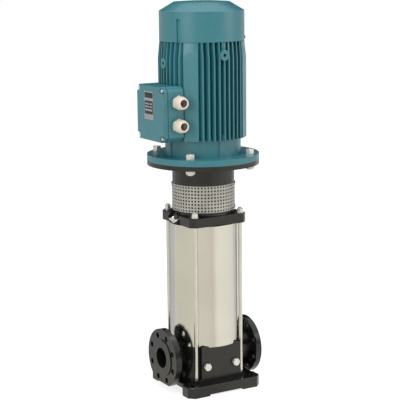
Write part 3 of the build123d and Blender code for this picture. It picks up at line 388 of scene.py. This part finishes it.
def hexHead(across, low, high, chamfer, edge=0.35):
    corner = across / 2 / math.cos(math.pi / 6)
    piece = rod(corner, low, high, vertices=6)
    piece.rotation_euler.z = math.pi / 6
    # a barrel a little larger than the hexagon cuts its corners back
    margin = 0.02
    barrel = rod(corner + margin, low - margin / 2, high + margin / 2)
    bevelled(barrel, chamfer, 1)
    piece = combined(piece, barrel, "INTERSECT")
    bevelled(piece, edge, sharpest=20)
    return piece


def spun(name, outline, steps):
    mesh = bpy.data.meshes.new(name)
    points = len(outline)
    mesh.from_pydata([millimetres(r, 0, z) for r, z in outline],
                     [(i, (i + 1) % points) for i in range(points)], [])
    piece = bpy.data.objects.new(name, mesh)
    bpy.context.scene.collection.objects.link(piece)
    turn = piece.modifiers.new("turn", "SCREW")
    turn.axis = "Z"
    turn.angle = 2 * math.pi
    turn.screw_offset = 0
    turn.steps = turn.render_steps = steps
    turn.use_merge_vertices = True
    turn.use_normal_calculate = True
    applyModifiers(piece)
    return piece


def joined(name, pieces):
    bpy.ops.object.select_all(action="DESELECT")
    for piece in pieces:
        piece.select_set(True)
    bpy.context.view_layer.objects.active = pieces[0]
    bpy.ops.object.transform_apply(location=True, rotation=True, scale=True)
    if len(pieces) > 1:
        bpy.ops.object.join()
    piece = bpy.context.object
    piece.name = name
    return piece


def copies(piece, matrices):
    made = []
    for matrix in matrices:
        twin = bpy.data.objects.new(piece.name, piece.data.copy())
        bpy.context.scene.collection.objects.link(twin)
        twin.matrix_world = matrix
        made.append(twin)
    bpy.data.objects.remove(piece, do_unlink=True)
    return made


def upright(x, y):
    return Matrix.Translation(millimetres(x, y, 0))


def towardFront(x, z):
    return Matrix.Translation(millimetres(x, 0, z)) @ Matrix.Rotation(math.pi / 2, 4, "X")


rods = {"x": 81.5, "y": 86.2, "radius": 6, "low": 15, "top": 579.3, "head": 562, "washer": 12,
        "washerTop": 564.5, "nutTop": 575.3, "across": 18}
rodPlaces = [upright(x, y) for x in (-rods["x"], rods["x"]) for y in (-rods["y"], rods["y"])]
piece = rod(rods["radius"], rods["low"], rods["top"], 0.8)
finishPiece(joined("tieRods", copies(piece, rodPlaces)), "tie_rods")
washer = rod(rods["washer"], rods["head"], rods["washerTop"], 0.4)
nut = hexHead(rods["across"], rods["washerTop"], rods["nutTop"], 1.3)
piece = joined("tieRodNuts", [washer, nut])
finishPiece(joined("tieRodNuts", copies(piece, rodPlaces)), "tie_rod_nuts")

sleeve = {"radius": 109.5, "wall": 2.5, "low": 146, "high": 532, "roll": 0.5}
outline = [(sleeve["radius"] - sleeve["wall"], sleeve["low"]),
           (sleeve["radius"] - sleeve["roll"], sleeve["low"]),
           (sleeve["radius"], sleeve["low"] + sleeve["roll"]),
           (sleeve["radius"], sleeve["high"] - sleeve["roll"]),
           (sleeve["radius"] - sleeve["roll"], sleeve["high"]),
           (sleeve["radius"] - sleeve["wall"], sleeve["high"])]
finishPiece(spun("outerSleeve", outline, 256), "outer_sleeve", sleeveFinish, 40)

drains = {"x": 52, "z": 85, "seat": 100.5, "face": 110.5, "across": 22, "thread": 10, "inside": 82.5}
head = hexHead(drains["across"], drains["seat"], drains["face"], 1.4)
stem = rod(drains["thread"], drains["inside"], drains["seat"] + 1, 0.6)
piece = joined("drainPlugs", [head, stem])
places = [towardFront(x, drains["z"]) for x in (-drains["x"], drains["x"])]
finishPiece(joined("drainPlugs", copies(piece, places)), "drain_plugs")

fill = {"x": -101, "z": 550, "seat": -1, "collar": 19.5, "collarTop": 2, "across": 30, "top": 18,
        "thread": 10, "inside": -13}
head = hexHead(fill["across"], fill["collarTop"] - 0.5, fill["top"], 2.2, 0.5)
head.rotation_euler.z = math.pi / 2
collar = rod(fill["collar"], fill["seat"], fill["collarTop"], 0.7)
stem = rod(fill["thread"], fill["inside"], fill["seat"] + 1, 0.6)
piece = joined("fillPlug", [head, collar, stem])
place = Matrix.Translation(millimetres(fill["x"], 0, fill["z"])) @ Matrix.Rotation(-math.pi / 4, 4, "Y")
finishPiece(joined("fillPlug", copies(piece, [place])), "fill_plug")

flangeScrews = {"circle": 150, "across": 24, "top": 764, "seat": 748, "shank": 8, "low": 699,
                "nutTop": 715, "nutLow": 702}
spots = [upright(flangeScrews["circle"] * math.cos(math.radians(a)),
                 flangeScrews["circle"] * math.sin(math.radians(a))) for a in (45, 135, 225, 315)]
head = hexHead(flangeScrews["across"], flangeScrews["seat"], flangeScrews["top"], 1.8, 0.5)
shank = rod(flangeScrews["shank"], flangeScrews["low"], flangeScrews["seat"] + 1, 0.9)
piece = joined("flangeBolts", [head, shank])
finishPiece(joined("flangeBolts", copies(piece, spots)), "flange_bolts")
nut = hexHead(flangeScrews["across"], flangeScrews["nutLow"], flangeScrews["nutTop"], 1.8, 0.5)
finishPiece(joined("flangeNuts", copies(nut, spots)), "flange_nuts")

glands = {"x": -134, "z": (920, 850.5), "seat": 87, "across": 38, "flange": 96, "tube": 14,
          "inside": 75, "tubeEnd": 110, "hole": 12, "ribs": 18, "ribRadius": 1.1, "ribCircle": 20.4,
          "ribLow": 95, "ribHigh": 111}
glandPlaces = [towardFront(glands["x"], z) for z in glands["z"]]
body = hexHead(glands["across"], glands["seat"], glands["flange"], 1.6, 0.6)
body = combined(body, rod(glands["tube"], glands["seat"] - 1, glands["tubeEnd"], 0.3), "UNION")
body = combined(body, rod(glands["hole"], glands["inside"], glands["tubeEnd"] + 1), "DIFFERENCE")
finishPiece(joined("glandBodies", copies(body, glandPlaces)), "gland_bodies")

dome = [(14.1, 96), (19.4, 96), (20, 96.8), (20, 109), (19.4, 112), (18.2, 115.5), (18.2, 116.6),
        (17.4, 119.5), (16.2, 122), (14.8, 123), (12.6, 123), (12, 122.2), (12, 116), (14.1, 116)]
piece = spun("glandNuts", dome, 96)
for rib in range(glands["ribs"]):
    groove = rod(glands["ribRadius"], glands["ribLow"], glands["ribHigh"], vertices=10)
    angle = 2 * math.pi * rib / glands["ribs"]
    groove.location = millimetres(glands["ribCircle"] * math.cos(angle),
                                  glands["ribCircle"] * math.sin(angle), 0)
    piece = combined(piece, groove, "DIFFERENCE")
finishPiece(joined("glandNuts", copies(piece, glandPlaces)), "gland_nuts")
print("turned and hexagonal pieces made")

# Nameplate: a bare plate with blank printed fields

plate = {"x": -186, "y": 6, "z": 907, "wide": 57, "tall": 86, "sheet": 0.55, "ink": 0.3, "field": 0.15}


def platePiece(name, y, z, wide, tall, back, thick, finish):
    bpy.ops.mesh.primitive_cube_add(size=1, location=millimetres(back - thick / 2, y, z))
    made = bpy.context.object
    made.scale = millimetres(thick, wide, tall)
    made.name = name
    return finishPiece(made, "nameplate", finish)


back = plate["x"] + 1
platePiece("namePlate", plate["y"], plate["z"], plate["wide"], plate["tall"], back, plate["sheet"],
           finishes["plate_sheet"])
panels = [("plateHead", 0, 31, 51, 16), ("plateBody", 0, -6, 51, 40)]
for name, y, z, wide, tall in panels:
    platePiece(name, plate["y"] + y, plate["z"] + z, wide, tall, back - plate["sheet"], plate["ink"],
               plateInk)
fields = [("plateFieldA", 10, 5, 24, 5), ("plateFieldB", -14, 5, 14, 5), ("plateFieldC", 10, -4, 24, 5),
          ("plateFieldD", -14, -4, 14, 5), ("plateFieldE", 0, -14, 44, 6)]
for name, y, z, wide, tall in fields:
    platePiece(name, plate["y"] + y, plate["z"] + z, wide, tall, back - plate["sheet"] - plate["ink"],
               plate["field"], finishes["plate_sheet"])
print("nameplate made")


# Studio

studio = {"floor": 60, "flagRadius": 14, "flagLow": 1.5, "flagHigh": 13}


def shownInstead(paint, lit, shown):
    path = paint.node("LightPath", out="Is Camera Ray")
    glossy = paint.node("LightPath", out="Is Glossy Ray")
    through = paint.node("LightPath", out="Is Transmission Ray")
    seen = paint.node("Math", {"operation": "MAXIMUM"},
                      {0: path, 1: paint.node("Math", {"operation": "MAXIMUM"}, {0: glossy, 1: through})})
    return paint.node("MixShader", {}, {0: seen, 1: lit, 2: shown})


def floorMaterial():
    paint = Paint("paleFloor")
    spot = paint.node("TexCoord", out="Object")
    x = paint.node("SeparateXYZ", {}, {0: spot}, "X")
    y = paint.node("SeparateXYZ", {}, {0: spot}, "Y")
    turn = paint.node("Math", {"operation": "ARCTAN2"}, {0: y, 1: x}) / (2 * math.pi) + 0.5
    # painted reflection: floor colours by compass direction, seen only by glossy and transmission rays,
    # that put lighter and darker reflection bands on the polished sleeve
    reflectionBands = [(-180, (0.72, 0.70, 0.60)), (-158, (0.73, 0.71, 0.60)), (-136, (0.76, 0.74, 0.65)),
             (-104, (0.74, 0.70, 0.62)), (-92, (0.72, 0.65, 0.58)), (-84, (0.86, 0.83, 0.74)),
             (-76, (0.93, 0.90, 0.79)), (-39, (0.90, 0.88, 0.78)), (-14, (0.82, 0.81, 0.79)),
             (0, (0.57, 0.57, 0.60)), (19, (0.57, 0.57, 0.60)), (24, (0.90, 0.90, 0.87)),
             (33, (0.88, 0.88, 0.86)), (40, (0.30, 0.30, 0.30)), (87, (0.36, 0.36, 0.36)),
             (94, (0.56, 0.56, 0.575)), (120, (0.57, 0.57, 0.58)), (130, (0.69, 0.70, 0.70)),
             (142, (0.72, 0.70, 0.60))]
    stops = [((angle + 180) / 360, rgb(*color)) for angle, color in reflectionBands]
    ring = paint.node("ValToRGB", {"stops": stops}, {0: turn}, "Color")
    eye = paint.node("LightPath", out="Is Camera Ray")
    seenColor = paint.tint(eye, ring, rgb(0.80, 0.80, 0.80))
    glow = paint.node("Emission", {}, {"Color": seenColor, "Strength": 1.0})
    paint.set(Base_Color=rgb(0.85, 0.85, 0.84), Roughness=0.9)
    lit = Wire(paint, paint.shader.outputs[0])
    direct = paint.node("BsdfDiffuse", {}, {"Color": paint.tint(eye, rgb(0, 0, 0), rgb(0.35, 0.35, 0.35))})
    both = paint.node("AddShader", {}, {0: glow, 1: direct})
    paint.feed(paint.output.inputs[0], shownInstead(paint, lit, both))
    return paint.material


bpy.ops.mesh.primitive_plane_add(size=studio["floor"], location=(0, 0, -0.0005))
floor = bpy.context.object
floor.name = "studioFloor"
floor.data.materials.append(floorMaterial())

# painted reflection: a dark ring seen only in reflections, with no shadow and no diffuse light, that
# darkens the reflections on glossy upward faces
bpy.ops.mesh.primitive_cylinder_add(vertices=64, radius=studio["flagRadius"], end_fill_type="NOTHING",
                                    depth=studio["flagHigh"] - studio["flagLow"],
                                    location=(0, 0, (studio["flagHigh"] + studio["flagLow"]) / 2))
flag = bpy.context.object
flag.name = "darkReflectionRing"
darkReflectionPaint = Paint("paintedDarkReflection")
darkReflectionPaint.set(Base_Color=rgb(0.004, 0.004, 0.004), Roughness=1.0)
flag.data.materials.append(darkReflectionPaint.material)
flag.visible_camera = False
flag.visible_diffuse = False
flag.visible_shadow = False

world = bpy.data.worlds.new("studioWorld")
bpy.context.scene.world = world
world.use_nodes = True
worldNodes = world.node_tree.nodes
worldLinks = world.node_tree.links
background = worldNodes["Background"]
background.inputs["Color"].default_value = rgb(1, 1, 1)
background.inputs["Strength"].default_value = 0.62
shownSky = worldNodes.new("ShaderNodeBackground")
shownSky.inputs["Color"].default_value = rgb(1, 1, 1)
shownSky.inputs["Strength"].default_value = 1
rays = worldNodes.new("ShaderNodeLightPath")
anyRay = worldNodes.new("ShaderNodeMath")
anyRay.operation = "MAXIMUM"
cameraOrGlossy = worldNodes.new("ShaderNodeMath")
cameraOrGlossy.operation = "MAXIMUM"
worldLinks.new(rays.outputs["Is Camera Ray"], cameraOrGlossy.inputs[0])
worldLinks.new(rays.outputs["Is Glossy Ray"], cameraOrGlossy.inputs[1])
worldLinks.new(cameraOrGlossy.outputs[0], anyRay.inputs[0])
worldLinks.new(rays.outputs["Is Transmission Ray"], anyRay.inputs[1])
skyMix = worldNodes.new("ShaderNodeMixShader")
worldLinks.new(anyRay.outputs[0], skyMix.inputs[0])
worldLinks.new(background.outputs[0], skyMix.inputs[1])
worldLinks.new(shownSky.outputs[0], skyMix.inputs[2])
worldLinks.new(skyMix.outputs[0], worldNodes["World Output"].inputs[0])

lamps = {
    "overhead": {"at": (-0.6, -0.9, 3.4), "size": 2.4, "power": 42},
    "leftKey": {"at": (-3.2, -1.2, 2.0), "size": 1.8, "power": 34},
    "rightFill": {"at": (2.6, -2.4, 1.9), "size": 1.8, "power": 26},
    "backRim": {"at": (1.6, 3.0, 2.4), "size": 1.6, "power": 22},
}
for lampName, values in lamps.items():
    bpy.ops.object.light_add(type="AREA", location=values["at"])
    lamp = bpy.context.object
    lamp.name = lampName
    lamp.data.size = values["size"]
    lamp.data.energy = values["power"]
    aim = Vector((0, 0, 0.6)) - Vector(values["at"])
    lamp.rotation_euler = aim.to_track_quat("-Z", "Y").to_euler()
    lamp.visible_camera = False
    lamp.visible_glossy = lampName != "backRim"

viewpoint = {"at": (-1.963, -3.378, 1.336), "turn": -30, "tilt": 79.28, "roll": -0.63, "lens": 113.6}
bpy.ops.object.camera_add(location=viewpoint["at"])
camera = bpy.context.object
camera.name = "studioCamera"
camera.data.lens = viewpoint["lens"]
camera.data.sensor_width = 36
camera.rotation_euler = (Matrix.Rotation(math.radians(viewpoint["turn"]), 3, "Z")
                         @ Matrix.Rotation(math.radians(viewpoint["tilt"]), 3, "X")
                         @ Matrix.Rotation(math.radians(viewpoint["roll"]), 3, "Z")).to_euler()
bpy.context.scene.camera = camera
bpy.context.scene.view_settings.view_transform = "Standard"
print("studio ready")
